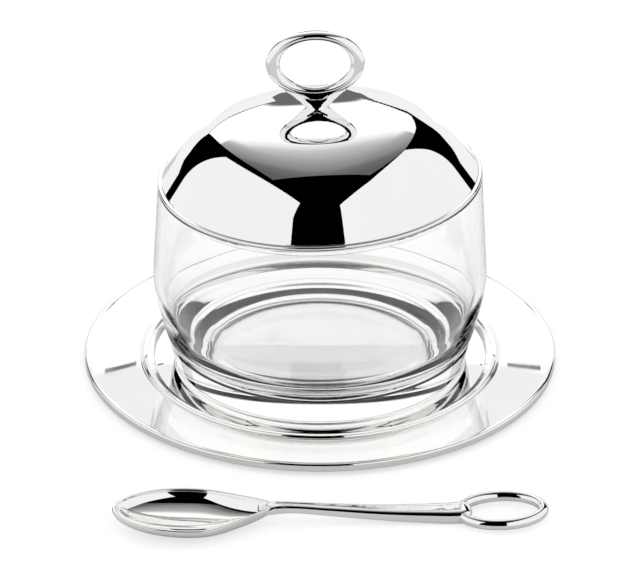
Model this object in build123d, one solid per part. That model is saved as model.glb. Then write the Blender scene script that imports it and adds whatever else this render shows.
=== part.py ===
"""Covered glass jar for marmalade: a saucer, a glass bowl, a domed lid and a spoon.

Millimetres, +Z up. The origin is the centre of the saucer's flat underside, on the jar's axis.
The spoon lies at the front, -Y, and +X is the right.
"""
import os
from math import asin, atan2, cos, radians, sin, sqrt, tan

from build123d import *

# Saucer: a spun dish, a locating ring round its well, and a wired rim
saucer_radius = 75.0
saucer_sheet = 1.2
well_radius = 52.6
well_depth = 1.45
well_wall_run = 1.8
well_corner = 0.7
well_shoulder = 0.5
flange_rise = 1.1
locating_ring_offset = 0.1
locating_ring_width = 3.0
locating_ring_height = 0.75
rim_wire_width = 1.5
rim_wire_height = 2.6
rim_wire_stand = 0.35
rim_wire_round = 0.65

# Glass bowl: a heavy base, a low belly and a rim ground on a slight slant
bowl_height = 63.4
bowl_rim_radius = 50.7
bowl_belly_radius = 52.9
bowl_belly_height = 27.0
bowl_belly_round = 34.0
bowl_heel_radius = 46.0
bowl_heel_round = 2.8
glass_wall = 2.8
glass_base = 5.9
inside_corner_round = 17.0
glass_lip_round = 0.7
rim_slant = 2.16

# Lid: a spun dome on a rim wire, with a collar that drops into the glass
lid_overhang = 0.2
lid_sheet = 1.0
dome_flatness = 25.1
dome_inset = 1.3
crown_radius = 93.0
crown_reach = 28.0
skirt_angle = 54.4
lid_wire_width = 2.6
lid_wire_height = 1.2
lid_wire_round = 0.35
collar_clearance = 0.8
collar_sheet = 1.0
collar_depth = 3.2
collar_flange = 0.8

# Lid handle: an oval ring on a short flared neck
handle_ring_width = 31.0
handle_ring_height = 21.8
handle_ring_side = 4.3
handle_ring_top = 2.6
handle_ring_depth = 3.8
handle_ring_round = 1.15
handle_ring_rise = 14.9
neck_base_radius = 3.33
neck_middle_height = 1.75
neck_middle_width = 10.0
neck_middle_depth = 5.2
neck_top_height = 6.0
neck_top_width = 18.0
neck_top_depth = 2.8

# Screw and washer that hold the handle from inside the dome
screw_radius = 1.25
screw_clearance = 0.05
dome_hole_clearance = 0.15
screw_grip = 4.0
screw_tip_room = 0.6
screw_head_radius = 2.3
screw_head_height = 1.5
screw_head_round = 0.5
screw_slot_width = 0.6
screw_slot_depth = 0.7
washer_radius = 3.2
washer_sheet = 0.6
inside_flat_margin = 0.3

# Spoon: an oval bowl and a ridged handle that widens to hold an oval wire ring
spoon_bowl_length = 44.6
spoon_bowl_width = 25.7
spoon_bowl_depth = 5.7
spoon_wall = 1.1
spoon_ring_distance = 93.9
spoon_ring_length = 28.1
spoon_ring_width = 19.9
spoon_ring_rise = 1.1
spoon_ring_lift = 4.0
spoon_wire_radius = 1.6
spoon_ring_gap = 0.05
spoon_bowl_x = -39.5
spoon_bowl_y = -104.3
spoon_yaw = 3.1
spoon_droop = 2.57
# Handle sections: distance from the bowl's centre, width, ridge thickness, edge thickness, rise
spoon_neck = (26.4, 4.0, 2.9, 2.2, 1.4)
spoon_sections = (
    (19.6, 8.6, 2.0, 1.0, -1.0),
    (22.6, 5.8, 2.7, 1.7, 0.3),
    spoon_neck,
    (34.0, 3.8, 2.6, 2.1, 1.25),
    (42.5, 4.3, 2.9, 2.4, 0.7),
    (59.0, 5.6, 3.4, 2.9, -0.1),
    (76.0, 7.3, 4.2, 3.8, -0.2),
    (82.0, 8.0, 4.6, 4.1, 0.2),
    (85.0, 7.0, 4.2, 3.7, 0.35),
)

# Heights and radii that follow from the sizes above
well_floor = saucer_sheet
flange_inner_radius = well_radius + well_wall_run
flange_outer_radius = saucer_radius - rim_wire_width
flange_inner_top = well_floor + well_depth
flange_outer_top = flange_inner_top + flange_rise
locating_ring_radius = flange_inner_radius + locating_ring_offset + locating_ring_width / 2
rim_height = well_floor + bowl_height
mouth_radius = bowl_rim_radius - glass_wall
collar_radius = mouth_radius - collar_clearance
lid_radius = bowl_rim_radius + lid_overhang
dome_base_radius = lid_radius - dome_inset
lid_height = dome_base_radius - dome_flatness
wire_inner_radius = lid_radius - lid_wire_width
crown_centre = lid_height - crown_radius
seat_height = crown_centre + sqrt(crown_radius**2 - neck_base_radius**2)


def rounded_face(corners):
    """A face in the XZ plane from (radius, height, round) corners."""
    outline = make_face(Polyline(*[(r, z) for r, z, bend in corners], close=True)).face()
    for r, z, bend in corners:
        if bend:
            corner = outline.vertices().sort_by_distance((r, z, 0))[0]
            outline = outline.fillet_2d(bend, [corner])
    return Plane.XZ * outline


def turned(corners):
    return revolve(rounded_face(corners), Axis.Z).solid()


def tube(outer, inner, low, high):
    return turned([(inner, low, 0), (outer, low, 0), (outer, high, 0), (inner, high, 0)])


def flange_top(radius):
    share = (radius - flange_inner_radius) / (flange_outer_radius - flange_inner_radius)
    return flange_inner_top + flange_rise * share


def make_saucer_dish():
    under = saucer_sheet * tan(atan2(well_depth, well_wall_run) / 2)
    return turned([
        (0, 0, 0),
        (well_radius + under, 0, well_corner + saucer_sheet),
        (flange_inner_radius + under, well_depth, well_shoulder),
        (flange_outer_radius, flange_outer_top - saucer_sheet, 0),
        (flange_outer_radius, flange_outer_top, 0),
        (flange_inner_radius, flange_inner_top, well_shoulder),
        (well_radius, well_floor, well_corner),
        (0, well_floor, 0),
    ])


def make_locating_ring():
    inner = locating_ring_radius - locating_ring_width / 2
    outer = locating_ring_radius + locating_ring_width / 2
    start = (inner, flange_top(inner))
    crest = (locating_ring_radius, flange_top(locating_ring_radius) + locating_ring_height)
    end = (outer, flange_top(outer))
    section = make_face(Line(end, start) + ThreePointArc(start, crest, end))
    return revolve(Plane.XZ * section, Axis.Z).solid()


def make_saucer_rim_wire():
    top = flange_outer_top + rim_wire_stand
    bottom = top - rim_wire_height
    inner = flange_outer_radius
    return turned([
        (inner, bottom, 0),
        (saucer_radius, bottom, rim_wire_round),
        (saucer_radius, top, rim_wire_round),
        (inner, top, 0),
    ])


def make_glass_bowl():
    base = well_floor
    belly = base + bowl_belly_height
    heel_lean = atan2(bowl_belly_radius - bowl_heel_radius, bowl_belly_height)
    upper_taper = (bowl_belly_radius - bowl_rim_radius) / (rim_height - belly)
    spare = bowl_rim_radius * tan(radians(rim_slant)) + glass_wall
    rim_outer = bowl_rim_radius - upper_taper * spare
    inside = base + glass_base
    inside_corner = bowl_heel_radius + glass_base * tan(heel_lean) - glass_wall / cos(heel_lean)
    body = turned([
        (0, base, 0),
        (bowl_heel_radius, base, bowl_heel_round),
        (bowl_belly_radius, belly, bowl_belly_round),
        (rim_outer, rim_height + spare, 0),
        (rim_outer - glass_wall, rim_height + spare, 0),
        (bowl_belly_radius - glass_wall, belly, bowl_belly_round - glass_wall),
        (inside_corner, inside, inside_corner_round),
        (0, inside, 0),
    ])
    across = 4 * bowl_rim_radius
    above = Box(across, across, 4 * spare, align=(Align.CENTER, Align.CENTER, Align.MIN))
    body = (body - Pos(0, 0, rim_height) * Rot(0, -rim_slant, 0) * above).solid()
    lip = body.faces().filter_by(GeomType.PLANE).sort_by(Axis.Z)[-1]
    return body.fillet(glass_lip_round, lip.edges())


def dome_path(depth, start_radius):
    """The dome's outline at a depth below its outer face, from the crown's flat to the rim wire."""
    skirt = radians(skirt_angle)
    crown_end = asin(crown_reach / crown_radius)
    reach_height = crown_centre + crown_radius * cos(crown_end)
    spread = sin(skirt) - sin(crown_end)
    drop = cos(crown_end) - cos(skirt)
    fall = (dome_base_radius - crown_reach) * tan(skirt) - (reach_height - lid_wire_height)
    shoulder = fall / (spread * tan(skirt) - drop)
    shoulder_x = crown_reach - shoulder * sin(crown_end)
    shoulder_z = reach_height - shoulder * cos(crown_end)

    def on_crown(angle):
        radius = crown_radius - depth
        return (radius * sin(angle), crown_centre + radius * cos(angle))

    def on_shoulder(angle):
        radius = shoulder - depth
        return (shoulder_x + radius * sin(angle), shoulder_z + radius * cos(angle))

    first = asin(start_radius / (crown_radius - depth))
    foot = (dome_base_radius - depth / sin(skirt), lid_wire_height)
    crown = ThreePointArc(on_crown(first), on_crown((first + crown_end) / 2), on_crown(crown_end))
    bend = ThreePointArc(on_shoulder(crown_end), on_shoulder((crown_end + skirt) / 2), on_shoulder(skirt))
    return crown + bend + Line(on_shoulder(skirt), foot), on_crown(first), foot


def make_lid_dome():
    outer_path, outer_top, outer_foot = dome_path(0, neck_base_radius)
    inner_path, inner_top, inner_foot = dome_path(lid_sheet, washer_radius + inside_flat_margin)
    top = Line((0, outer_top[1]), outer_top)
    middle = Line((0, inner_top[1]), (0, outer_top[1]))
    under = Line((0, inner_top[1]), inner_top)
    foot = Line(outer_foot, inner_foot)
    shell = revolve(Plane.XZ * make_face(top + outer_path + foot + inner_path + under + middle), Axis.Z)
    hole = Cylinder(screw_radius + dome_hole_clearance, 4 * lid_height)
    return (shell - hole).solid()


def inside_top():
    return dome_path(lid_sheet, washer_radius + inside_flat_margin)[1][1]


def make_lid_rim_wire():
    return turned([
        (wire_inner_radius, 0, 0),
        (lid_radius, 0, lid_wire_round),
        (lid_radius, lid_wire_height, lid_wire_round),
        (wire_inner_radius, lid_wire_height, 0),
    ])


def make_lid_collar():
    bore = collar_radius - collar_sheet
    return turned([
        (bore, -collar_depth, 0),
        (collar_radius, -collar_depth, 0),
        (collar_radius, 0, 0),
        (wire_inner_radius, 0, 0),
        (wire_inner_radius, collar_flange, 0),
        (bore, collar_flange, 0),
    ])


def oval_section(height, width, depth):
    return Pos(0, 0, height) * Ellipse(width / 2, depth / 2)


def make_lid_handle():
    outer = Ellipse(handle_ring_width / 2, handle_ring_height / 2)
    inner = Ellipse(handle_ring_width / 2 - handle_ring_side, handle_ring_height / 2 - handle_ring_top)
    band = extrude(Plane.XZ * (outer - inner), amount=handle_ring_depth / 2, both=True)
    band = Pos(0, 0, handle_ring_rise) * fillet(band.edges(), handle_ring_round)
    neck = loft([
        oval_section(0, 2 * neck_base_radius, 2 * neck_base_radius),
        oval_section(neck_middle_height, neck_middle_width, neck_middle_depth),
        oval_section(neck_top_height, neck_top_width, neck_top_depth),
    ])
    tapped = Cylinder(screw_radius + screw_clearance, 2 * (screw_grip + screw_tip_room))
    return Pos(0, 0, seat_height) * (band + neck - tapped).solid()


def make_handle_washer():
    top = inside_top()
    return tube(washer_radius, screw_radius + dome_hole_clearance, top - washer_sheet, top)


def make_handle_screw():
    under = inside_top() - washer_sheet
    low = under - screw_head_height
    shank_top = seat_height + screw_grip
    screw = turned([
        (0, low, 0),
        (screw_head_radius, low, screw_head_round),
        (screw_head_radius, under, 0),
        (screw_radius, under, 0),
        (screw_radius, shank_top, 0),
        (0, shank_top, 0),
    ])
    slot = Pos(0, 0, low) * Box(4 * screw_head_radius, screw_slot_width, 2 * screw_slot_depth)
    return (screw - slot).solid()


def spoon_ring_body(extra):
    across = spoon_ring_length / 2 - spoon_wire_radius
    along = spoon_ring_width / 2 - spoon_wire_radius
    path = Edge.make_ellipse(across, along)
    start = Plane(origin=path @ 0, z_dir=path % 0)
    wire = sweep(start * Circle(spoon_wire_radius + extra), path=path)
    return Pos(spoon_ring_distance, 0, spoon_ring_rise) * Rot(0, -spoon_ring_lift, 0) * wire.solid()


def handle_section(distance, width, ridge, edge, rise):
    half = width / 2
    outline = Polyline(
        (-half, rise - edge / 2),
        (-half, rise + edge / 2),
        (0, rise + ridge / 2),
        (half, rise + edge / 2),
        (half, rise - edge / 2),
        (0, rise - ridge / 2),
        close=True,
    )
    return Plane.YZ.offset(distance) * make_face(outline)


def make_spoon_body():
    half_length = spoon_bowl_length / 2
    half_width = spoon_bowl_width / 2
    outer_size = (half_length, half_width, spoon_bowl_depth)
    inner_size = tuple(size - spoon_wall for size in outer_size)
    outside = scale(Sphere(1), by=outer_size)
    hollow = scale(Sphere(1), by=inner_size)
    cut_size = (2 * spoon_bowl_length, 2 * spoon_bowl_width, 2 * spoon_bowl_depth)
    above = Box(*cut_size, align=(Align.CENTER, Align.CENTER, Align.MIN))
    handle = loft([handle_section(*section) for section in spoon_sections])
    body = (outside - above) + handle - hollow
    return (body - spoon_ring_body(spoon_ring_gap)).solid()


def lid_place():
    return Pos(0, 0, rim_height) * Rot(0, -rim_slant, 0)


def spoon_place():
    """The spoon rests on its bowl's belly, with its handle drooping to the table."""
    droop = radians(spoon_droop)
    rest = sqrt((spoon_bowl_length / 2 * sin(droop))**2 + (spoon_bowl_depth * cos(droop))**2)
    return Pos(spoon_bowl_x, spoon_bowl_y, rest) * Rot(0, 0, spoon_yaw) * Rot(0, spoon_droop, 0)


def build_parts():
    lid = lid_place()
    spoon = spoon_place()
    return {
        "saucer_dish": make_saucer_dish(),
        "saucer_locating_ring": make_locating_ring(),
        "saucer_rim_wire": make_saucer_rim_wire(),
        "glass_bowl": make_glass_bowl(),
        "lid_dome": lid * make_lid_dome(),
        "lid_rim_wire": lid * make_lid_rim_wire(),
        "lid_collar": lid * make_lid_collar(),
        "lid_handle": lid * make_lid_handle(),
        "handle_washer": lid * make_handle_washer(),
        "handle_screw": lid * make_handle_screw(),
        "spoon_body": spoon * make_spoon_body(),
        "spoon_ring": spoon * spoon_ring_body(0),
    }


os.makedirs("parts", exist_ok=True)
for node, solid in build_parts().items():
    export_step(solid, f"parts/{node}.step")
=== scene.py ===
# Marmalade jar: finished pieces, materials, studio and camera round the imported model
from math import acos, asin, atan2, ceil, cos, hypot, pi, radians, sin, sqrt, tan

import bmesh
import bpy
from mathutils import Matrix, Vector


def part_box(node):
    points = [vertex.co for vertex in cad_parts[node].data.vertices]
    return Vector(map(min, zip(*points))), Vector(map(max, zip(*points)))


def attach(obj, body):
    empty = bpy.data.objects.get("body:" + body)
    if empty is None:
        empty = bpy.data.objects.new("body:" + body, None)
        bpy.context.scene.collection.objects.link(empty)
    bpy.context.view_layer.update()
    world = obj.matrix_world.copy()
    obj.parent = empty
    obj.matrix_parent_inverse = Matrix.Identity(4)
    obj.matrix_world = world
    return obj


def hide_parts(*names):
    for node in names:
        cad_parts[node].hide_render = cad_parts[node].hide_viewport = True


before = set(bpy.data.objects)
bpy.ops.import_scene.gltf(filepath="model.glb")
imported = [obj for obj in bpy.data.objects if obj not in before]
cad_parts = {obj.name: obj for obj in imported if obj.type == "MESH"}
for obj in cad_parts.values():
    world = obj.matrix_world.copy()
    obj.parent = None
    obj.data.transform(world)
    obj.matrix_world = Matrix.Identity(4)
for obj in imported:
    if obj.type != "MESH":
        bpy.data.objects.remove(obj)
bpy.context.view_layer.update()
mm = 0.001
# Rings are spun at this radius first, and then take their oval
plainRadius = 10


def low(node, axis):
    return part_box(node)[0][axis] / mm


def high(node, axis):
    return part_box(node)[1][axis] / mm


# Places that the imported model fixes, in millimetres
saucerRadius = high("saucer_rim_wire", 0)
saucerTop = high("saucer_rim_wire", 2)
flangeRadius = high("saucer_dish", 0)
flangeTop = high("saucer_dish", 2)
wellFloor = low("glass_bowl", 2)
# The glass rim's height and slant, which the lid shares
rimHeight = 64.6
rimSlant = radians(2.16)
lidPlace = Matrix.Translation((0, 0, rimHeight * mm)) @ Matrix.Rotation(-rimSlant, 4, "Y")
print("frame loaded, saucer radius", round(saucerRadius, 2), "mm")


# Outlines and turned pieces

def roundedOutline(corners):
    # (radius, height, round) corners become points, with arcs that touch both sides of a corner
    points = []
    count = len(corners)
    for i in range(count):
        r, z, bend = corners[i]
        here = Vector((r, z))
        if not bend:
            points.append(here)
            continue
        before = (Vector(corners[i - 1][:2]) - here).normalized()
        after = (Vector(corners[(i + 1) % count][:2]) - here).normalized()
        half = acos(max(-1, min(1, before.dot(after)))) / 2
        centre = here + (before + after).normalized() * (bend / sin(half))
        start = here + before * (bend / tan(half)) - centre
        end = here + after * (bend / tan(half)) - centre
        turn = atan2(start.x * end.y - start.y * end.x, start.dot(end))
        # Wide rounds get finer steps
        step = radians(7) if bend < 4 else radians(1.5)
        steps = max(4, ceil(abs(turn) / step))
        for k in range(steps + 1):
            a = turn * k / steps
            turned = Vector((start.x * cos(a) - start.y * sin(a), start.x * sin(a) + start.y * cos(a)))
            points.append(centre + turned)
    return points


def supported(points, closed, near=0.25, apart=3.0):
    # Extra points keep long flats flat beside tight rounds, so that reflections run true
    result = []
    count = len(points)
    for i in range(count if closed else count - 1):
        a = points[i]
        b = points[(i + 1) % count]
        length = (b - a).length
        result.append(a)
        if length > 4 * near:
            inner = max(1, ceil((length - 2 * near) / apart))
            for k in range(inner + 1):
                result.append(a.lerp(b, (near + (length - 2 * near) * k / inner) / length))
    if not closed:
        result.append(points[-1])
    return result


def finished(bm, name, material, place=None, smooth=True):
    # The bmesh becomes an object at the origin, with its place in its mesh
    if place is not None:
        bm.transform(place)
    for face in bm.faces:
        face.smooth = smooth
    mesh = bpy.data.meshes.new(name)
    bm.to_mesh(mesh)
    bm.free()
    piece = bpy.data.objects.new(name, mesh)
    bpy.context.scene.collection.objects.link(piece)
    mesh.materials.append(material)
    return piece


def turnedPiece(name, points, material, closed=True, steps=288, place=None, shape=None):
    # A lathe: the outline turns about Z
    bm = bmesh.new()
    ring = [bm.verts.new((p.x * mm, 0, p.y * mm)) for p in supported(points, closed)]
    edges = [bm.edges.new((ring[i], ring[i + 1])) for i in range(len(ring) - 1)]
    if closed:
        edges.append(bm.edges.new((ring[-1], ring[0])))
    bmesh.ops.spin(bm, geom=ring + edges, cent=(0, 0, 0), axis=(0, 0, 1), angle=2 * pi, steps=steps,
                   use_merge=True)
    bmesh.ops.remove_doubles(bm, verts=bm.verts, dist=1e-6)
    bmesh.ops.dissolve_degenerate(bm, edges=bm.edges, dist=1e-7)
    if shape is not None:
        for vert in bm.verts:
            vert.co = shape(vert.co)
    bmesh.ops.recalc_face_normals(bm, faces=bm.faces)
    return finished(bm, name, material, place)


def settled(bm, rounds=14):
    # A cage is moved until its subdivided surface passes through the places where its corners were put
    goals = {vert: vert.co.copy() for vert in bm.verts}
    crease = bm.edges.layers.float.get("crease_edge")
    for _ in range(rounds):
        moves = {}
        for vert in bm.verts:
            sharp = [edge for edge in vert.link_edges if crease and edge[crease] > 0.5]
            if len(sharp) == 2:
                ends = sharp[0].other_vert(vert).co + sharp[1].other_vert(vert).co
                limit = (vert.co * 4 + ends) / 6
            else:
                n = len(vert.link_edges)
                near = Vector()
                for edge in vert.link_edges:
                    near += edge.other_vert(vert).co
                far = Vector()
                for face in vert.link_faces:
                    for other in face.verts:
                        if not any(vert in edge.verts for edge in other.link_edges):
                            far += other.co
                limit = (vert.co * (n * n) + near * 4 + far) / (n * (n + 5))
            moves[vert] = goals[vert] - limit
        for vert, move in moves.items():
            vert.co += move


def smoothCage(bm, name, material, levels, place):
    bmesh.ops.recalc_face_normals(bm, faces=bm.faces)
    settled(bm)
    piece = finished(bm, name, material, place)
    rounding = piece.modifiers.new("rounding", "SUBSURF")
    rounding.levels = levels
    rounding.render_levels = levels
    return piece


def roundGrid(a, b):
    # A square's grid place becomes a place in a round disc
    return a * sqrt(1 - b * b / 2), b * sqrt(1 - a * a / 2)


def spotKey(vert):
    return tuple(round(value, 3) for value in vert.co)


def extrudedPatch(bm, patch):
    # The patch of faces is pulled out, and the old faces under it go
    result = bmesh.ops.extrude_face_region(bm, geom=patch)
    faces = [item for item in result["geom"] if isinstance(item, bmesh.types.BMFace)]
    bmesh.ops.delete(bm, geom=[face for face in patch if face.is_valid], context="FACES_ONLY")
    return faces


# Materials

def newMaterial(name):
    material = bpy.data.materials.new(name)
    material.use_nodes = True
    nodes = material.node_tree.nodes
    nodes.clear()
    output = nodes.new("ShaderNodeOutputMaterial")
    shader = nodes.new("ShaderNodeBsdfPrincipled")
    material.node_tree.links.new(shader.outputs["BSDF"], output.inputs["Surface"])
    return material, nodes, material.node_tree.links, shader


def addSocket(group, name, direction, kind, value=None):
    socket = group.interface.new_socket(name=name, in_out=direction, socket_type=kind)
    if value is not None:
        socket.default_value = value
    return socket


def mathNode(nodes, links, operation, first, second=None):
    node = nodes.new("ShaderNodeMath")
    node.operation = operation
    for index, value in enumerate((first, second)):
        if value is None:
            continue
        if isinstance(value, (int, float)):
            node.inputs[index].default_value = value
        else:
            links.new(value, node.inputs[index])
    return node.outputs[0]


polishLook = {
    "lineStretch": 3.0,
    "lineDetail": 2.0,
    "smudgeDetail": 4.0,
    "smudgeRoughness": 0.6,
    "smudgeStart": 0.45,
    "smudgeEnd": 0.75,
}


def polishGroup():
    # Fine polishing lines and faint hand marks, from a vector whose X runs across the lines
    p = polishLook
    group = bpy.data.node_groups.new("polishMarks", "ShaderNodeTree")
    addSocket(group, "Vector", "INPUT", "NodeSocketVector")
    addSocket(group, "Roughness Low", "INPUT", "NodeSocketFloat", 0.02)
    addSocket(group, "Roughness High", "INPUT", "NodeSocketFloat", 0.06)
    addSocket(group, "Line Scale", "INPUT", "NodeSocketFloat", 4000.0)
    addSocket(group, "Smudge Scale", "INPUT", "NodeSocketFloat", 60.0)
    addSocket(group, "Roughness", "OUTPUT", "NodeSocketFloat")
    addSocket(group, "Height", "OUTPUT", "NodeSocketFloat")
    addSocket(group, "Tone", "OUTPUT", "NodeSocketFloat")
    nodes = group.nodes
    links = group.links
    entry = nodes.new("NodeGroupInput")
    leave = nodes.new("NodeGroupOutput")
    split = nodes.new("ShaderNodeSeparateXYZ")
    links.new(entry.outputs["Vector"], split.inputs[0])
    stretched = nodes.new("ShaderNodeCombineXYZ")
    across = mathNode(nodes, links, "MULTIPLY", split.outputs[0], entry.outputs["Line Scale"])
    along = mathNode(nodes, links, "MULTIPLY", split.outputs[1], p["lineStretch"])
    links.new(across, stretched.inputs[0])
    links.new(along, stretched.inputs[1])
    lines = nodes.new("ShaderNodeTexNoise")
    lines.inputs["Scale"].default_value = 1.0
    lines.inputs["Detail"].default_value = p["lineDetail"]
    links.new(stretched.outputs[0], lines.inputs["Vector"])
    smudge = nodes.new("ShaderNodeTexNoise")
    smudge.inputs["Detail"].default_value = p["smudgeDetail"]
    smudge.inputs["Roughness"].default_value = p["smudgeRoughness"]
    links.new(entry.outputs["Vector"], smudge.inputs["Vector"])
    links.new(entry.outputs["Smudge Scale"], smudge.inputs["Scale"])
    marks = nodes.new("ShaderNodeMapRange")
    marks.inputs["From Min"].default_value = p["smudgeStart"]
    marks.inputs["From Max"].default_value = p["smudgeEnd"]
    links.new(smudge.outputs["Fac"], marks.inputs["Value"])
    links.new(entry.outputs["Roughness Low"], marks.inputs["To Min"])
    links.new(entry.outputs["Roughness High"], marks.inputs["To Max"])
    links.new(marks.outputs["Result"], leave.inputs["Roughness"])
    links.new(lines.outputs["Fac"], leave.inputs["Height"])
    links.new(smudge.outputs["Fac"], leave.inputs["Tone"])
    return group


polishMarks = polishGroup()

silverLook = {
    "bright": (0.955, 0.95, 0.94, 1),
    "toned": (0.915, 0.908, 0.895, 1),
    "roughLow": 0.012,
    "roughHigh": 0.03,
    "lineScale": 5000.0,
    "smudgeScale": 45.0,
    "lineDepth": 0.0000006,
    "lineStrength": 0.25,
    "aroundShare": 0.05,
}


def silverMaterial(name, flow, look, centre=(0, 0, 0), turn=0.0):
    # Polished metal. flow is "turned" for lathe lines about Z, or "along" for lines along X
    material, nodes, links, shader = newMaterial(name)
    place = nodes.new("ShaderNodeTexCoord")
    mapping = nodes.new("ShaderNodeMapping")
    mapping.vector_type = "TEXTURE"
    mapping.inputs["Location"].default_value = centre
    mapping.inputs["Rotation"].default_value = (0, 0, turn)
    links.new(place.outputs["Object"], mapping.inputs["Vector"])
    vector = mapping.outputs[0]
    split = nodes.new("ShaderNodeSeparateXYZ")
    links.new(vector, split.inputs[0])
    lined = nodes.new("ShaderNodeCombineXYZ")
    if flow == "turned":
        flatLength = nodes.new("ShaderNodeCombineXYZ")
        links.new(split.outputs[0], flatLength.inputs[0])
        links.new(split.outputs[1], flatLength.inputs[1])
        radius = nodes.new("ShaderNodeVectorMath")
        radius.operation = "LENGTH"
        links.new(flatLength.outputs[0], radius.inputs[0])
        around = mathNode(nodes, links, "ARCTAN2", split.outputs[1], split.outputs[0])
        links.new(radius.outputs["Value"], lined.inputs[0])
        links.new(mathNode(nodes, links, "MULTIPLY", around, look["aroundShare"]), lined.inputs[1])
        links.new(split.outputs[2], lined.inputs[2])
    else:
        links.new(split.outputs[1], lined.inputs[0])
        links.new(split.outputs[0], lined.inputs[1])
        links.new(split.outputs[2], lined.inputs[2])
    marks = nodes.new("ShaderNodeGroup")
    marks.node_tree = polishMarks
    marks.inputs["Roughness Low"].default_value = look["roughLow"]
    marks.inputs["Roughness High"].default_value = look["roughHigh"]
    marks.inputs["Line Scale"].default_value = look["lineScale"]
    marks.inputs["Smudge Scale"].default_value = look["smudgeScale"]
    links.new(lined.outputs[0], marks.inputs["Vector"])
    tone = nodes.new("ShaderNodeMix")
    tone.data_type = "RGBA"
    tone.inputs["A"].default_value = look["bright"]
    tone.inputs["B"].default_value = look["toned"]
    links.new(marks.outputs["Tone"], tone.inputs["Factor"])
    links.new(tone.outputs["Result"], shader.inputs["Base Color"])
    shader.inputs["Metallic"].default_value = 1.0
    links.new(marks.outputs["Roughness"], shader.inputs["Roughness"])
    bump = nodes.new("ShaderNodeBump")
    bump.inputs["Strength"].default_value = look["lineStrength"]
    bump.inputs["Distance"].default_value = look["lineDepth"]
    links.new(marks.outputs["Height"], bump.inputs["Height"])
    links.new(bump.outputs["Normal"], shader.inputs["Normal"])
    return material


glassLook = {
    "tint": (0.985, 0.99, 0.988, 1),
    "ior": 1.5,
    "waveScale": 35.0,
    "waveDepth": 0.00002,
    "waveStrength": 0.3,
}


def glassMaterial():
    # Clear glass with the slow waviness of a blown wall
    material, nodes, links, shader = newMaterial("clearGlass")
    place = nodes.new("ShaderNodeTexCoord")
    waves = nodes.new("ShaderNodeTexNoise")
    waves.inputs["Scale"].default_value = glassLook["waveScale"]
    waves.inputs["Detail"].default_value = 1.0
    links.new(place.outputs["Object"], waves.inputs["Vector"])
    bump = nodes.new("ShaderNodeBump")
    bump.inputs["Strength"].default_value = glassLook["waveStrength"]
    bump.inputs["Distance"].default_value = glassLook["waveDepth"]
    links.new(waves.outputs["Fac"], bump.inputs["Height"])
    links.new(bump.outputs["Normal"], shader.inputs["Normal"])
    shader.inputs["Base Color"].default_value = glassLook["tint"]
    shader.inputs["Metallic"].default_value = 0.0
    shader.inputs["Roughness"].default_value = 0.0
    shader.inputs["IOR"].default_value = glassLook["ior"]
    shader.inputs["Transmission Weight"].default_value = 1.0
    return material


screwLook = {
    "bright": (0.62, 0.62, 0.6, 1),
    "toned": (0.5, 0.5, 0.49, 1),
    "roughLow": 0.22,
    "roughHigh": 0.38,
    "lineScale": 9000.0,
    "smudgeScale": 300.0,
    "lineDepth": 0.000004,
    "lineStrength": 0.25,
    "aroundShare": 0.05,
}
# The spoon's turn on the table, and its bowl's centre
spoonYaw = radians(3.1)
spoonBowlPlace = (-39.5, -104.3)
turnedSilver = silverMaterial("turnedSilver", "turned", silverLook)
handleSilver = silverMaterial("handleSilver", "along", silverLook)
spoonSilver = silverMaterial("spoonSilver", "along", silverLook,
                             (spoonBowlPlace[0] * mm, spoonBowlPlace[1] * mm, 0), spoonYaw)
screwSteel = silverMaterial("screwSteel", "turned", screwLook)
clearGlass = glassMaterial()
print("materials made")


# Saucer

saucerSizes = {
    "sheet": 1.2,
    "wellRadius": 52.6,
    "wellWallRun": 1.8,
    "wellDepth": 1.45,
    "wellCorner": 0.7,
    "shoulder": 0.5,
    "ringOffset": 0.1,
    "ringWidth": 3.0,
    "ringHeight": 0.75,
    "ringSunk": 0.2,
    "ringOuterSlope": (0.75, 1.15),
    "ringFootRise": 0.02,
    "ringInnerSlope": 0.35,
    "ringRounds": (0.5, 0.45, 0.5),
    "lipWidth": 1.5,
    "lipHeight": 2.6,
    "lipRound": 0.65,
    "lipOverlap": 0.25,
    "lipInnerRound": 0.3,
    "lipSunk": 0.1,
}


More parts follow.
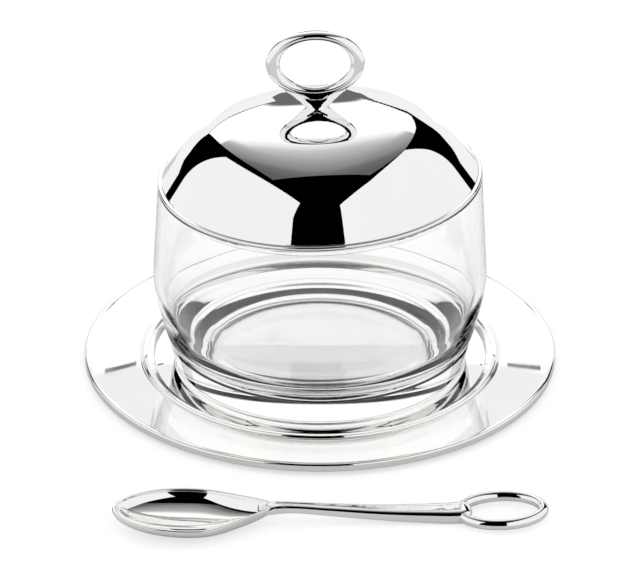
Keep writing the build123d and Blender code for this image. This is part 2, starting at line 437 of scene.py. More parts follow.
def makeSaucer():
    s = saucerSizes
    flangeInner = s["wellRadius"] + s["wellWallRun"]
    flangeInnerTop = wellFloor + s["wellDepth"]
    under = s["sheet"] * tan(atan2(s["wellDepth"], s["wellWallRun"]) / 2)
    dish = roundedOutline([
        (0, 0, 0),
        (s["wellRadius"] + under, 0, s["wellCorner"] + s["sheet"]),
        (flangeInner + under, s["wellDepth"], s["shoulder"]),
        (flangeRadius, flangeTop - s["sheet"], 0),
        (flangeRadius, flangeTop, 0),
        (flangeInner, flangeInnerTop, s["shoulder"]),
        (s["wellRadius"], wellFloor, s["wellCorner"]),
        (0, wellFloor, 0),
    ])
    saucerDish = turnedPiece("saucerDish", dish, turnedSilver)
    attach(saucerDish, "saucer")
    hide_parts("saucer_dish")

    def flangeAt(r):
        share = (r - flangeInner) / (flangeRadius - flangeInner)
        return flangeInnerTop + (flangeTop - flangeInnerTop) * share

    inner = flangeInner + s["ringOffset"]
    outer = inner + s["ringWidth"]
    crown = (inner + outer) / 2
    crest = flangeAt(crown) + s["ringHeight"]
    slopeFoot, slopeTop = s["ringOuterSlope"]
    footRound, outerRound, innerRound = s["ringRounds"]
    ring = roundedOutline([
        (inner, flangeAt(inner) - s["ringSunk"], 0),
        (outer, flangeAt(outer) - s["ringSunk"], 0),
        (outer, flangeAt(outer), 0),
        (outer - slopeFoot, flangeAt(outer) + s["ringFootRise"], footRound),
        (outer - slopeTop, crest, outerRound),
        (inner + s["ringInnerSlope"], crest, innerRound),
        (inner, flangeAt(inner), 0),
    ])
    locatingRing = turnedPiece("locatingRing", ring, turnedSilver)
    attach(locatingRing, "saucer")
    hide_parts("saucer_locating_ring")

    bottom = saucerTop - s["lipHeight"]
    innerLip = saucerRadius - s["lipWidth"]
    lip = roundedOutline([
        (innerLip, bottom, 0),
        (saucerRadius, bottom, s["lipRound"]),
        (saucerRadius, saucerTop, s["lipRound"]),
        (innerLip - s["lipOverlap"], saucerTop, s["lipInnerRound"]),
        (innerLip - s["lipOverlap"], flangeTop - s["lipSunk"], 0),
        (innerLip, flangeTop - s["lipSunk"], 0),
    ])
    saucerLip = turnedPiece("saucerLip", lip, turnedSilver)
    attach(saucerLip, "saucer")
    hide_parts("saucer_rim_wire")
    print("saucer made")


makeSaucer()


# Glass bowl

glassSizes = {
    "rimRadius": 50.7,
    "bellyRadius": 52.9,
    "bellyHeight": 27.0,
    "bellyRound": 34.0,
    "heelRadius": 46.0,
    "heelRound": 2.8,
    "wall": 2.8,
    "base": 5.9,
    "insideRound": 17.0,
    "lipRound": 0.7,
    "footLift": 0.03,
}


def makeGlass():
    g = glassSizes
    base = wellFloor + g["footLift"]
    belly = wellFloor + g["bellyHeight"]
    heelLean = atan2(g["bellyRadius"] - g["heelRadius"], g["bellyHeight"])
    inside = wellFloor + g["base"]
    insideCorner = g["heelRadius"] + g["base"] * tan(heelLean) - g["wall"] / cos(heelLean)
    outline = roundedOutline([
        (0, base, 0),
        (g["heelRadius"], base, g["heelRound"]),
        (g["bellyRadius"], belly, g["bellyRound"]),
        (g["rimRadius"], rimHeight, g["lipRound"]),
        (g["rimRadius"] - g["wall"], rimHeight, g["lipRound"]),
        (g["bellyRadius"] - g["wall"], belly, g["bellyRound"] - g["wall"]),
        (insideCorner, inside, g["insideRound"]),
        (0, inside, 0),
    ])

    def slanted(co):
        # The rim slants, and the wall below it takes the slant up evenly
        share = max(0.0, min(1.0, (co.z / mm - belly) / (rimHeight - belly)))
        return Vector((co.x, co.y, co.z + co.x * tan(rimSlant) * share * share))

    glassBowl = turnedPiece("glassBowl", outline, clearGlass, shape=slanted)
    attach(glassBowl, "bowl")
    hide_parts("glass_bowl")
    print("glass bowl made")


makeGlass()


# Lid

lidSizes = {
    "overhang": 0.2,
    "sheet": 1.0,
    "height": 24.5,
    "domeInset": 1.3,
    "crownRadius": 93.0,
    "crownReach": 28.0,
    "skirtAngle": radians(54.4),
    "wireWidth": 2.6,
    "wireHeight": 1.2,
    "wireRound": 0.5,
    "wireLift": 0.01,
    "collarClearance": 0.8,
    "collarSheet": 1.0,
    "collarDepth": 3.2,
    "collarFlange": 0.8,
    # Rounds of the collar's section: at its foot inside and outside, and above outside and inside
    "collarRounds": (0.25, 0.4, 0.2, 0.3),
    "screwHole": 1.4,
    "seatRadius": 3.33,
    "insideFlat": 3.5,
    "crownSteps": 24,
    "shoulderSteps": 32,
}


def domePath(depth, startRadius):
    # The dome's outline, at a depth under its outer face, from the crown down to the wire
    d = lidSizes
    skirt = d["skirtAngle"]
    baseRadius = glassSizes["rimRadius"] + d["overhang"] - d["domeInset"]
    crownCentre = d["height"] - d["crownRadius"]
    crownEnd = asin(d["crownReach"] / d["crownRadius"])
    reachHeight = crownCentre + d["crownRadius"] * cos(crownEnd)
    spread = sin(skirt) - sin(crownEnd)
    fall = (baseRadius - d["crownReach"]) * tan(skirt) - (reachHeight - d["wireHeight"])
    shoulder = fall / (spread * tan(skirt) - (cos(crownEnd) - cos(skirt)))
    shoulderX = d["crownReach"] - shoulder * sin(crownEnd)
    shoulderZ = reachHeight - shoulder * cos(crownEnd)
    radius = d["crownRadius"] - depth
    first = asin(startRadius / radius)
    points = []
    for k in range(d["crownSteps"] + 1):
        a = first + (crownEnd - first) * k / d["crownSteps"]
        points.append(Vector((radius * sin(a), crownCentre + radius * cos(a))))
    radius = shoulder - depth
    for k in range(1, d["shoulderSteps"] + 1):
        a = crownEnd + (skirt - crownEnd) * k / d["shoulderSteps"]
        points.append(Vector((shoulderX + radius * sin(a), shoulderZ + radius * cos(a))))
    points.append(Vector((baseRadius - depth / sin(skirt), d["wireHeight"])))
    return points


def makeLid():
    d = lidSizes
    outer = domePath(0, d["seatRadius"])
    inner = domePath(d["sheet"], d["insideFlat"])
    outer.insert(0, Vector((d["screwHole"], outer[0].y)))
    inner.insert(0, Vector((d["screwHole"], inner[0].y)))
    lidDome = turnedPiece("lidDome", outer + inner[::-1], turnedSilver, place=lidPlace)
    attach(lidDome, "lid")
    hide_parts("lid_dome")

    lidRadius = glassSizes["rimRadius"] + d["overhang"]
    wireInner = lidRadius - d["wireWidth"]
    wire = roundedOutline([
        (wireInner, d["wireLift"], 0),
        (lidRadius, d["wireLift"], d["wireRound"]),
        (lidRadius, d["wireHeight"], d["wireRound"]),
        (wireInner, d["wireHeight"], 0),
    ])
    lidWire = turnedPiece("lidRimWire", wire, turnedSilver, place=lidPlace)
    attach(lidWire, "lid")
    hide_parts("lid_rim_wire")

    collarRadius = glassSizes["rimRadius"] - glassSizes["wall"] - d["collarClearance"]
    bore = collarRadius - d["collarSheet"]
    rounds = d["collarRounds"]
    collar = roundedOutline([
        (bore, -d["collarDepth"], rounds[0]),
        (collarRadius, -d["collarDepth"], rounds[1]),
        (collarRadius, 0, rounds[2]),
        (wireInner, 0, 0),
        (wireInner, d["collarFlange"], 0),
        (bore, d["collarFlange"], rounds[3]),
    ])
    lidCollar = turnedPiece("lidCollar", collar, turnedSilver, place=lidPlace)
    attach(lidCollar, "lid")
    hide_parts("lid_collar")
    print("lid made")


makeLid()


# Lid handle, with the screw and washer that hold it

handleSizes = {
    "rise": 14.6,
    "width": 30.5,
    "height": 21.3,
    "side": 4.3,
    "top": 2.6,
    "depth": 3.8,
    "flat": 0.72,
    "shoulder": 0.26,
    "steps": 16,
    "levels": 4,
    "neckSpan": radians(45),
    "bandPlay": 0.01,
    # Each level of the neck: half width, half depth, height in the middle, height at the sides
    "neck": ((8.3, 1.7, 3.0, 4.75), (6.0, 2.1, 1.95, 2.75), (4.35, 2.7, 0.9, 1.1), (3.33, 3.33, 0.0, 0.0)),
    "screwRadius": 1.25,
    "screwGrip": 4.0,
    "headRadius": 2.3,
    "headHeight": 1.5,
    "headRound": 0.5,
    "slotWidth": 0.6,
    "slotDepth": 0.7,
    "washerRadius": 3.2,
    "washerSheet": 0.6,
    "washerRounds": (0.15, 0.2),
    "headEdge": 0.1,
    "tipRound": 0.3,
    "playUnder": 0.005,
}
# Heights over the glass rim: where the handle stands on the dome, and the dome's flat underside
handleSeat = domePath(0, lidSizes["seatRadius"])[0].y
domeUnderside = domePath(lidSizes["sheet"], lidSizes["insideFlat"])[0].y


def makeHandle():
    h = handleSizes
    bm = bmesh.new()
    half = h["depth"] / 2
    corners = ((0, -h["flat"]), (0, h["flat"]), (h["shoulder"], half), (1 - h["shoulder"], half),
               (1, h["flat"]), (1, -h["flat"]), (1 - h["shoulder"], -half), (h["shoulder"], -half))
    # The band is spun at a plain radius first, and then takes the ring's oval
    loop = [bm.verts.new((plainRadius + share, y, 0)) for share, y in corners]
    edges = [bm.edges.new((loop[i - 1], loop[i])) for i in range(len(loop))]
    bmesh.ops.spin(bm, geom=loop + edges, cent=(0, 0, 0), axis=(0, 1, 0), angle=2 * pi, steps=h["steps"],
                   use_merge=True)
    bmesh.ops.remove_doubles(bm, verts=bm.verts, dist=1e-4)
    # The neck grows from the faces of the outer band that look down
    outerBand = plainRadius + 1 - h["shoulder"] - h["bandPlay"]
    patch = []
    for face in bm.faces:
        middle = face.calc_center_median()
        down = abs(atan2(middle.x, -middle.z)) < h["neckSpan"]
        outer = all(hypot(vert.co.x, vert.co.z) > outerBand for vert in face.verts)
        if down and outer:
            patch.append(face)
    # Each corner of the patch keeps its grid place, by which the neck's levels are shaped
    spots = {}
    for vert in {vert for face in patch for vert in face.verts}:
        column = round(atan2(vert.co.x, -vert.co.z) / h["neckSpan"], 3)
        row = max(-1.0, min(1.0, vert.co.y / half))
        spots[spotKey(vert)] = (column, row)
    for vert in bm.verts:
        share = hypot(vert.co.x, vert.co.z) - plainRadius
        turn = atan2(vert.co.z, vert.co.x)
        reach = h["width"] / 2 - h["side"] * (1 - share)
        tall = h["height"] / 2 - h["top"] * (1 - share)
        key = spotKey(vert)
        vert.co = Vector((reach * cos(turn), vert.co.y, h["rise"] + tall * sin(turn)))
        if key in spots:
            spots[spotKey(vert)] = spots[key]
    crease = bm.edges.layers.float.new("crease_edge")
    for width, depth, middleHeight, sideHeight in h["neck"]:
        patch = extrudedPatch(bm, patch)
        moved = {}
        for vert in {vert for face in patch for vert in face.verts}:
            column, row = spots[spotKey(vert)]
            across, deep = roundGrid(column, row)
            height = middleHeight + (sideHeight - middleHeight) * column * column
            vert.co = Vector((width * across, depth * deep, height))
            moved[spotKey(vert)] = (column, row)
        spots = moved
    rim = [edge for edge in bm.edges if sum(face in patch for face in edge.link_faces) == 1]
    for edge in rim:
        edge[crease] = 1.0
    bmesh.ops.scale(bm, verts=bm.verts, vec=(mm, mm, mm))
    place = lidPlace @ Matrix.Translation((0, 0, handleSeat * mm))
    lidHandle = smoothCage(bm, "lidHandle", handleSilver, h["levels"], place)
    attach(lidHandle, "lid")
    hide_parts("lid_handle")
    print("lid handle made")


def makeWasher():
    h = handleSizes
    bottom = domeUnderside - h["washerSheet"]
    top = domeUnderside - h["playUnder"]
    innerRound, outerRound = h["washerRounds"]
    washer = roundedOutline([
        (lidSizes["screwHole"], bottom, innerRound),
        (h["washerRadius"], bottom, outerRound),
        (h["washerRadius"], top, 0),
        (lidSizes["screwHole"], top, 0),
    ])
    handleWasher = turnedPiece("handleWasher", washer, screwSteel, steps=96, place=lidPlace)
    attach(handleWasher, "lid")
    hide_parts("handle_washer")
    print("handle washer made")


def makeScrew():
    h = handleSizes
    below = domeUnderside - h["washerSheet"] - h["playUnder"]
    headFace = below - h["headHeight"]
    tip = handleSeat + h["screwGrip"]
    screw = roundedOutline([
        (0, headFace, 0),
        (h["headRadius"], headFace, h["headRound"]),
        (h["headRadius"], below, h["headEdge"]),
        (h["screwRadius"], below, 0),
        (h["screwRadius"], tip, h["tipRound"]),
        (0, tip, 0),
    ])
    handleScrew = turnedPiece("handleScrew", screw, screwSteel, steps=96)
    bm = bmesh.new()
    bmesh.ops.create_cube(bm, size=1)
    cutterSize = Vector((4 * h["headRadius"], h["slotWidth"], 2 * h["slotDepth"])) * mm
    bmesh.ops.scale(bm, verts=bm.verts, vec=cutterSize)
    bmesh.ops.translate(bm, verts=bm.verts, vec=(0, 0, headFace * mm))
    slotCutter = finished(bm, "slotCutter", screwSteel, smooth=False)
    cut = handleScrew.modifiers.new("slot", "BOOLEAN")
    cut.operation = "DIFFERENCE"
    cut.solver = "EXACT"
    cut.object = slotCutter
    bpy.context.view_layer.update()
    depsgraph = bpy.context.evaluated_depsgraph_get()
    slotted = bpy.data.meshes.new_from_object(handleScrew.evaluated_get(depsgraph))
    handleScrew.modifiers.clear()
    handleScrew.data = slotted
    bpy.data.objects.remove(slotCutter)
    slotted.transform(lidPlace)
    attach(handleScrew, "lid")
    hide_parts("handle_screw")
    print("handle screw made")


makeHandle()
makeWasher()
makeScrew()


# Spoon

spoonSizes = {
    "length": 44.6,
    "width": 25.7,
    "depth": 5.7,
    "wall": 1.1,
    "droop": radians(2.57),
    "steps": 240,
    "arcSteps": 36,
    "rimSteps": 8,
    "rimRise": 0.22,
    "rimBand": 0.3,
    # Towards the handle the bowl's edge reaches out, narrows and rises
    "tipReach": 3.4,
    "tipNarrow": 0.46,
    "tipRise": 1.9,
    # Each section of the handle: distance from the bowl's centre, half width, top, underside
    "sections": (
        (20.8, 2.6, 1.1, 0.1), (22.4, 2.75, 1.6, -0.3), (24.5, 2.5, 2.2, -0.4), (26.8, 2.1, 2.6, -0.25),
        (30.0, 1.88, 2.62, -0.05), (34.0, 1.9, 2.52, -0.1), (42.5, 2.15, 2.1, -0.7), (59.0, 2.8, 1.57, -1.75),
        (76.0, 3.6, 1.88, -2.25), (80.0, 3.88, 2.15, -2.1), (82.2, 3.85, 2.3, -1.95), (83.6, 3.4, 2.1, -1.6),
        (84.5, 2.5, 1.6, -1.0), (84.95, 1.3, 0.9, -0.2),
    ),
    "stations": 110,
    "endGaps": (1.9, 1.4, 1.0, 0.7, 0.45, 0.25, 0.1, 0.0),
    "square": 4.0,
    "around": 48,
    "ringDistance": 93.9,
    "ringLength": 28.1,
    "ringWidth": 19.9,
    "ringRise": 1.1,
    "ringLift": radians(4.0),
    "wireRadius": 1.6,
    "wireAround": 40,
    "wireSteps": 200,
}


def spoonPlace():
    s = spoonSizes
    rest = sqrt((s["length"] / 2 * sin(s["droop"])) ** 2 + (s["depth"] * cos(s["droop"])) ** 2)
    spot = Matrix.Translation((spoonBowlPlace[0] * mm, spoonBowlPlace[1] * mm, rest * mm))
    return spot @ Matrix.Rotation(spoonYaw, 4, "Z") @ Matrix.Rotation(s["droop"], 4, "Y")


def eased(value):
    value = max(0.0, min(1.0, value))
    return value * value * (3 - 2 * value)


def smoothRow(rows, place):
    # A smooth curve through the rows of a table, by its first column
    last = len(rows) - 1
    i = max(0, min(last - 1, sum(row[0] <= place for row in rows) - 1))
    a, b = rows[i], rows[i + 1]
    gap = b[0] - a[0]
    t = (place - a[0]) / gap
    before = rows[max(0, i - 1)]
    after = rows[min(last, i + 2)]
    result = []
    for k in range(1, len(a)):
        leave = (b[k] - before[k]) / max(1e-6, b[0] - before[0]) * gap
        reach = (after[k] - a[k]) / max(1e-6, after[0] - a[0]) * gap
        h = 2 * t ** 3 - 3 * t * t + 1
        result.append(a[k] * h + b[k] * (1 - h) + leave * (t ** 3 - 2 * t * t + t) + reach * (t ** 3 - t * t))
    return result


def makeSpoonBody():
    s = spoonSizes
    half = s["length"] / 2
    inner = half - s["wall"]
    arcSteps = s["arcSteps"]
    rimSteps = s["rimSteps"]
    # The bowl's outline: its belly, its round rim, and back down its hollow
    outline = []
    for k in range(arcSteps + 1):
        a = pi / 2 * k / arcSteps
        outline.append(Vector((half * sin(a), -s["depth"] * cos(a))))
    for k in range(1, rimSteps):
        a = pi * k / rimSteps
        outline.append(Vector((half - s["wall"] / 2 * (1 - cos(a)), s["rimRise"] * sin(a))))
    for k in range(arcSteps + 1):
        a = pi / 2 * (1 - k / arcSteps)
        outline.append(Vector((inner * sin(a), -(s["depth"] - s["wall"]) * cos(a))))

    def spoonShape(co):
        # The turned bowl becomes an oval with an even wall, and its tip flows into the handle
        x, y, z = co / mm
        reach = hypot(x, y)
        middle = (s["depth"] - s["wall"] / 2) * sqrt(max(0.0, 1 - (reach / (half - s["wall"] / 2)) ** 2))
        inside = z > -middle and reach < half - s["wall"] / 2
        width = s["width"] / 2
        side = (width - s["wall"]) / inner if inside else width / half
        if z > -s["rimBand"] and inner <= reach <= half:
            side = (width - (half - reach)) / reach
        y *= side
        tip = eased(x / half)
        y *= 1 - s["tipNarrow"] * tip * tip
        z += s["tipRise"] * tip ** 2 * (1 + z / s["depth"])
        x += s["tipReach"] * tip ** 3
        return Vector((x, y, z)) * mm

    spoonBody = turnedPiece("spoonBody", outline, spoonSilver, closed=False, steps=s["steps"],
                            shape=spoonShape)
    bm = bmesh.new()
    bm.from_mesh(spoonBody.data)
    rows = s["sections"]
    first = rows[0][0]
    last = rows[-1][0]
    stations = [first + (last - first) * k / s["stations"] for k in range(s["stations"] - 4)]
    stations += [last - gap for gap in s["endGaps"]]
    loops = []
    for index, distance in enumerate(stations):
        width, top, under = smoothRow(rows, distance)
        capped = index in (0, len(stations) - 1)
        circle = bmesh.ops.create_circle(bm, cap_ends=capped, segments=s["around"], radius=1)["verts"]
        for vert in circle:
            turn = atan2(vert.co.y, vert.co.x)
            across = abs(cos(turn)) ** (2 / s["square"]) * (1 if cos(turn) > 0 else -1)
            up = abs(sin(turn)) ** (2 / s["square"]) * (1 if sin(turn) > 0 else -1)
            height = (top + under) / 2 + (top - under) / 2 * up
            vert.co = Vector((distance, width * across, height)) * mm
        loops.append({edge for vert in circle for edge in vert.link_edges})
    for near, far in zip(loops, loops[1:]):
        bmesh.ops.bridge_loops(bm, edges=list(near | far))
    bmesh.ops.recalc_face_normals(bm, faces=bm.faces)
    bm.transform(spoonPlace())
    for face in bm.faces:
        face.smooth = True
    bm.to_mesh(spoonBody.data)
    bm.free()
    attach(spoonBody, "spoon")
    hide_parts("spoon_body")
    print("spoon body made")


def makeSpoonRing():
    s = spoonSizes
    bm = bmesh.new()
    start = Matrix.Translation((plainRadius, 0, 0)) @ Matrix.Rotation(pi / 2, 4, "X")
    bmesh.ops.create_circle(bm, segments=s["wireAround"], radius=s["wireRadius"], matrix=start)
    bmesh.ops.spin(bm, geom=list(bm.verts) + list(bm.edges), cent=(0, 0, 0), axis=(0, 0, 1), angle=2 * pi,
                   steps=s["wireSteps"], use_merge=True)
    bmesh.ops.remove_doubles(bm, verts=bm.verts, dist=1e-4)
    reach = s["ringLength"] / 2 - s["wireRadius"]
    side = s["ringWidth"] / 2 - s["wireRadius"]
    for vert in bm.verts:
        turn = atan2(vert.co.y, vert.co.x)
        outward = hypot(vert.co.x, vert.co.y) - plainRadius
        lean = Vector((cos(turn) / reach, sin(turn) / side, 0)).normalized()
        vert.co = Vector((reach * cos(turn), side * sin(turn), vert.co.z)) + lean * outward
    bmesh.ops.recalc_face_normals(bm, faces=bm.faces)
    bmesh.ops.scale(bm, verts=bm.verts, vec=(mm, mm, mm))
    ringPlace = spoonPlace() @ Matrix.Translation((s["ringDistance"] * mm, 0, s["ringRise"] * mm))
    spoonRing = finished(bm, "spoonRing", spoonSilver, ringPlace @ Matrix.Rotation(-s["ringLift"], 4, "Y"))
    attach(spoonRing, "spoon")
    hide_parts("spoon_ring")
    print("spoon ring made")


makeSpoonBody()
makeSpoonRing()


# Studio: pale cards round the table, in millimetres unless said otherwise

# The cards' outlines come from scratch scripts, which traced edges read off the photo in the dome's and
# the saucer's reflections back to the cards, and the sheet's glow follows the dome's tones in it
studioSizes = {
    # The floor's radius in metres, its paleness in reflections, and its glow to the camera
    "floorRadius": 2.6,
    "floorPale": 0.7,
    "floorWarm": 0.985,
    "floorGlow": 1.25,
    "floorGlowShare": 0.5,
    "cardDistance": 320.0,
    "leftTurn": radians(-66.4),
    "rightTurn": radians(72),
    # Card outlines: distance along the card towards the front, and height
    "leftOutline": ((300, 1), (277, 712), (-690, 670), (-510, 1)),
    "rightOutline": ((515, 1), (444, 854), (-32, 789), (-708, 858), (-576, 442), (-437, 143), (-400, 1)),
    "panelGlow": 0.95,
    # The overhead sheet leans over the table: x, and distance up the sheet
    "sheetBottom": (320, 178),
    "sheetRun": (-345, 316.5),
    "sheetOutline": (
        (-198, -6), (-171, -4), (-148, -1), (-129, 4), (-108, 3), (-76, 1), (43, 3), (58, 13), (66, 15),
        (92, 26), (115, 31), (130, 50), (147, 81), (158, 121), (178, 218), (177, 291), (173, 367),
        (166, 438), (-15, 444), (-198, 459),
    ),
    # Glow of the sheet, by distance beyond its plain bright part as a share of glowReach
    "sheetGlow": ((0.0, 1.12), (0.27, 1.1), (0.316, 0.9), (0.3625, 0.6), (0.406, 0.48), (0.447, 0.42),
                  (0.56, 0.33), (0.67, 0.27), (0.78, 0.17), (1.0, 0.12)),
    "wallAt": 320.0,
    # The wall behind: x and height
    "wallOutline": (
        (-450, 1), (470, 1), (470, 20), (273, 127), (248, 148), (218, 158), (196, 171), (177, 184),
        (156, 191), (134, 194), (113, 192), (90, 190), (73, 186), (65, 182), (57, 177), (47, 164),
        (39, 149), (31, 140), (24, 129), (12, 116), (-6, 109), (-24, 110), (-38, 116), (-44, 124),
        (-52, 137), (-56, 144), (-58, 174), (-83, 176), (-108, 176), (-129, 178), (-148, 173),
        (-171, 171), (-199, 170), (-214, 150), (-236, 134), (-266, 118), (-287, 89), (-450, 20),
    ),
    "wallGlow": 0.95,
    # A grey card shows through the dip in the wall's top
    "greyOutline": ((-75, 90), (66, 90), (66, 215), (-75, 215)),
    # A low near wall fills the saucer's flange, brighter below a slanting change
    "nearAt": 150.0,
    "nearHalf": 92,
    "nearTop": 104,
    "nearLow": 1.12,
    "nearHigh": 0.93,
    "nearChange": 88.0,
    "nearSoft": 0.5,
    "nearSlantFrom": 0.056,
    "nearSlant": 0.24,
    # Two thin grey lines just before it
    "lineGap": 0.5,
    "leftLine": ((-56.4, 87.1), (-56.4, 87.65), (-67.6, 90.7), (-67.6, 89.9)),
    "rightLine": ((57.6, 87.5), (57.8, 88.05), (69.5, 90.4), (69.6, 89.6)),
    "greyGlow": 0.15,
    "greyWarm": 0.97,
    # The sheet's tones, in metres: its plain bright part, how fast it falls off to the sides, and the spot
    "plainRun": 0.093,
    "middleX": -0.017,
    "sideFall": 5.7,
    "sideFallFrom": 0.026,
    "glowReach": 0.42,
    "spotX": -0.014,
    "spotWide": 0.058,
    "spotTall": 0.054,
    "spotEdge": (0.75, 1.2),
}


def glowMaterial(name, strength):
    material = bpy.data.materials.new(name)
    material.use_nodes = True
    nodes = material.node_tree.nodes
    nodes.clear()
    output = nodes.new("ShaderNodeOutputMaterial")
    glow = nodes.new("ShaderNodeEmission")
    glow.inputs["Strength"].default_value = strength
    material.node_tree.links.new(glow.outputs[0], output.inputs["Surface"])
    material.cycles.emission_sampling = "NONE"
    return material, glow


def card(name, points, material):
    # A flat glowing card that only reflections show
    bm = bmesh.new()
    bmesh.ops.create_circle(bm, cap_ends=True, segments=len(points), radius=1)
    for vert, point in zip(bm.verts, points):
        vert.co = Vector(point) * mm
    piece = finished(bm, name, material, smooth=False)
    piece.visible_camera = False


def sideCard(name, turn, outline):
    # A card square to the direction of its turn from the front
    forward = Vector((sin(turn), -cos(turn), 0))
    along = Vector((-forward.y, forward.x, 0))
    if along.y > 0:
        along = -along
    points = [forward * studioSizes["cardDistance"] + along * a + Vector((0, 0, z)) for a, z in outline]
    card(name, points, glowMaterial(name + "Glow", studioSizes["panelGlow"])[0])


def ranged(nodes, links, value, start, end):
    # Zero below the start and one past the end, with a soft change between
    node = nodes.new("ShaderNodeMapRange")
    node.interpolation_type = "SMOOTHSTEP"
    node.inputs["From Min"].default_value = start
    node.inputs["From Max"].default_value = end
    links.new(value, node.inputs["Value"])
    return node.outputs["Result"]


def nearMaterial():
    # Bright low on the wall, and a little darker above a line that slants up to both sides
    s = studioSizes
    material, glow = glowMaterial("nearGlow", 1.0)
    nodes = material.node_tree.nodes
    links = material.node_tree.links
    place = nodes.new("ShaderNodeTexCoord")
    split = nodes.new("ShaderNodeSeparateXYZ")
    links.new(place.outputs["Object"], split.inputs[0])
    sideways = mathNode(nodes, links, "ABSOLUTE", split.outputs[0])
    aside = mathNode(nodes, links, "SUBTRACT", sideways, s["nearSlantFrom"])
    slant = mathNode(nodes, links, "MULTIPLY", mathNode(nodes, links, "MAXIMUM", aside, 0.0), s["nearSlant"])
    height = mathNode(nodes, links, "SUBTRACT", split.outputs[2], slant)
    start = (s["nearChange"] - s["nearSoft"]) * mm
    end = (s["nearChange"] + s["nearSoft"]) * mm
    rise = ranged(nodes, links, height, start, end)
    change = mathNode(nodes, links, "MULTIPLY", rise, s["nearHigh"] - s["nearLow"])
    links.new(mathNode(nodes, links, "ADD", change, s["nearLow"]), glow.inputs["Strength"])
    return material


def sheetMaterial():
    # A round glow on the sheet, with a soft dark spot low in its middle
    s = studioSizes
    material, glow = glowMaterial("sheetGlow", 1.0)
    nodes = material.node_tree.nodes
    links = material.node_tree.links
    place = nodes.new("ShaderNodeTexCoord")
    split = nodes.new("ShaderNodeSeparateXYZ")
    links.new(place.outputs["Object"], split.inputs[0])
    run = Vector(s["sheetRun"]).normalized()
    fromBack = mathNode(nodes, links, "SUBTRACT", split.outputs[1], s["sheetBottom"][0] * mm)
    fromBottom = mathNode(nodes, links, "SUBTRACT", split.outputs[2], s["sheetBottom"][1] * mm)
    first = mathNode(nodes, links, "MULTIPLY", fromBack, run.x)
    second = mathNode(nodes, links, "MULTIPLY", fromBottom, run.y)
    along = mathNode(nodes, links, "ADD", first, second)
    beyond = mathNode(nodes, links, "SUBTRACT", along, s["plainRun"])
    beyond = mathNode(nodes, links, "MAXIMUM", beyond, 0.0)
    aside = mathNode(nodes, links, "SUBTRACT", split.outputs[0], s["middleX"])
    square = mathNode(nodes, links, "MULTIPLY", aside, aside)
    square = mathNode(nodes, links, "MULTIPLY", square, s["sideFall"])
    share = mathNode(nodes, links, "DIVIDE", beyond, s["sideFallFrom"])
    share = mathNode(nodes, links, "MINIMUM", share, 1.0)
    spread = mathNode(nodes, links, "ADD", beyond, mathNode(nodes, links, "MULTIPLY", square, share))
    ramp = nodes.new("ShaderNodeValToRGB")
    links.new(mathNode(nodes, links, "DIVIDE", spread, s["glowReach"]), ramp.inputs["Fac"])
    ramp.color_ramp.elements[0].position = s["sheetGlow"][0][0]
    ramp.color_ramp.elements[1].position = s["sheetGlow"][-1][0]
    for position, value in s["sheetGlow"][1:-1]:
        ramp.color_ramp.elements.new(position)
    for element, (position, value) in zip(ramp.color_ramp.elements, s["sheetGlow"]):
        element.color = (value, value, value, 1)
    wide = mathNode(nodes, links, "SUBTRACT", split.outputs[0], s["spotX"])
    wide = mathNode(nodes, links, "DIVIDE", wide, s["spotWide"])
    tall = mathNode(nodes, links, "DIVIDE", along, s["spotTall"])
    wide = mathNode(nodes, links, "MULTIPLY", wide, wide)
    tall = mathNode(nodes, links, "MULTIPLY", tall, tall)
    clear = ranged(nodes, links, mathNode(nodes, links, "ADD", wide, tall), *s["spotEdge"])
    spot = nodes.new("ShaderNodeMix")
    spot.data_type = "RGBA"
    spot.inputs["A"].default_value = (s["greyGlow"], s["greyGlow"], s["greyGlow"] * s["greyWarm"], 1)
    links.new(clear, spot.inputs["Factor"])
    links.new(ramp.outputs["Color"], spot.inputs["B"])
    links.new(spot.outputs["Result"], glow.inputs["Color"])
    return material


def makeWorld():
    # White to the camera, through the glass and for soft light, and dark in mirrors
    world = bpy.data.worlds.new("studio")
    bpy.context.scene.world = world
    world.use_nodes = True
    nodes = world.node_tree.nodes
    links = world.node_tree.links
    nodes.clear()
    output = nodes.new("ShaderNodeOutputWorld")
    background = nodes.new("ShaderNodeBackground")
    lightPath = nodes.new("ShaderNodeLightPath")
    direct = mathNode(nodes, links, "MAXIMUM", lightPath.outputs["Is Camera Ray"],
                      lightPath.outputs["Is Diffuse Ray"])
    seen = mathNode(nodes, links, "MAXIMUM", direct, lightPath.outputs["Is Transmission Ray"])
    links.new(seen, background.inputs["Strength"])
    background.inputs["Color"].default_value = (1, 1, 1, 1)
    links.new(background.outputs[0], output.inputs["Surface"])
    world.cycles.sampling_method = "NONE"


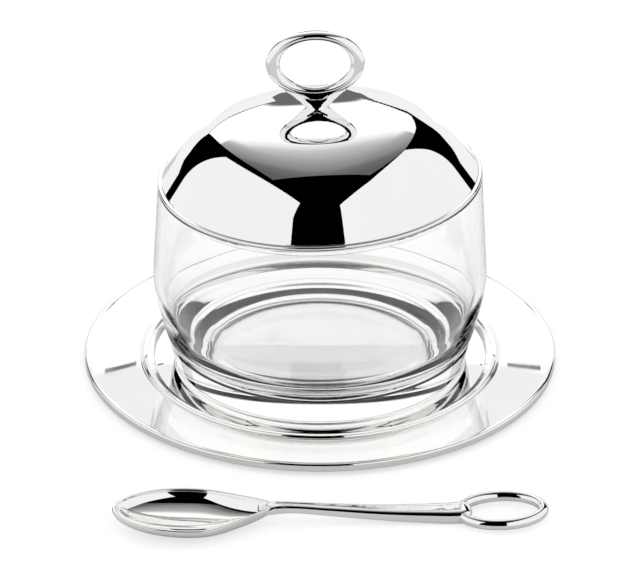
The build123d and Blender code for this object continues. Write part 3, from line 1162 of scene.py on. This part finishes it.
def makeFloor():
    # A table that glows white to the camera and through the glass, and is pale in mirrors
    s = studioSizes
    floorMaterial = bpy.data.materials.new("paleFloor")
    floorMaterial.use_nodes = True
    nodes = floorMaterial.node_tree.nodes
    links = floorMaterial.node_tree.links
    nodes.clear()
    output = nodes.new("ShaderNodeOutputMaterial")
    lightPath = nodes.new("ShaderNodeLightPath")
    plain = nodes.new("ShaderNodeBsdfDiffuse")
    plain.inputs["Color"].default_value = (s["floorPale"], s["floorPale"], s["floorPale"] * s["floorWarm"], 1)
    pale = nodes.new("ShaderNodeBsdfDiffuse")
    pale.inputs["Color"].default_value = (1, 1, 1, 1)
    lift = nodes.new("ShaderNodeEmission")
    lift.inputs["Strength"].default_value = s["floorGlow"]
    whole = nodes.new("ShaderNodeMixShader")
    whole.inputs[0].default_value = s["floorGlowShare"]
    links.new(pale.outputs[0], whole.inputs[1])
    links.new(lift.outputs[0], whole.inputs[2])
    choose = nodes.new("ShaderNodeMixShader")
    direct = mathNode(nodes, links, "MAXIMUM", lightPath.outputs["Is Camera Ray"],
                      lightPath.outputs["Is Transmission Ray"])
    links.new(direct, choose.inputs[0])
    links.new(plain.outputs[0], choose.inputs[1])
    links.new(whole.outputs[0], choose.inputs[2])
    links.new(choose.outputs[0], output.inputs["Surface"])
    floorMaterial.cycles.emission_sampling = "NONE"
    bm = bmesh.new()
    bmesh.ops.create_circle(bm, cap_ends=True, segments=64, radius=s["floorRadius"])
    floor = finished(bm, "floor", floorMaterial, smooth=False)


def makeCards():
    s = studioSizes
    run = Vector(s["sheetRun"]).normalized()
    sheetY, sheetZ = s["sheetBottom"]
    sheet = [(x, sheetY + run.x * up, sheetZ + run.y * up) for x, up in s["sheetOutline"]]
    card("overheadSheet", sheet, sheetMaterial())
    card("backWall", [(x, s["wallAt"], z) for x, z in s["wallOutline"]],
         glowMaterial("wallGlow", s["wallGlow"])[0])
    card("greyCard", [(x, s["wallAt"] + 1, z) for x, z in s["greyOutline"]],
         glowMaterial("greyGlow", s["greyGlow"])[0])
    near = s["nearAt"]
    side = s["nearHalf"]
    corners = ((-side, near, 1), (side, near, 1), (side, near, s["nearTop"]), (-side, near, s["nearTop"]))
    card("nearWall", corners, nearMaterial())
    greyLine = glowMaterial("lineGlow", s["greyGlow"])[0]
    for name in ("leftLine", "rightLine"):
        card(name, [(x, near - s["lineGap"], z) for x, z in s[name]], greyLine)
    sideCard("leftPanel", s["leftTurn"], s["leftOutline"])
    sideCard("rightPanel", s["rightTurn"], s["rightOutline"])
    print("studio made")


makeWorld()
makeFloor()
makeCards()


# Camera, with its distances in metres

cameraSizes = {
    "pitch": radians(27.89),
    "distance": 1.3304,
    "aimHeight": 0.0264,
    "lens": 236.25,
}


def makeCamera():
    c = cameraSizes
    data = bpy.data.cameras.new("camera")
    data.lens = c["lens"]
    data.sensor_width = 36
    data.clip_start = 0.05
    camera = bpy.data.objects.new("camera", data)
    back = c["distance"] * cos(c["pitch"])
    rise = c["aimHeight"] + c["distance"] * sin(c["pitch"])
    camera.location = (0, -back, rise)
    camera.rotation_euler = (pi / 2 - c["pitch"], 0, 0)
    bpy.context.scene.collection.objects.link(camera)
    bpy.context.scene.camera = camera


makeCamera()
bpy.context.scene.view_settings.view_transform = "Standard"

print("scene made")
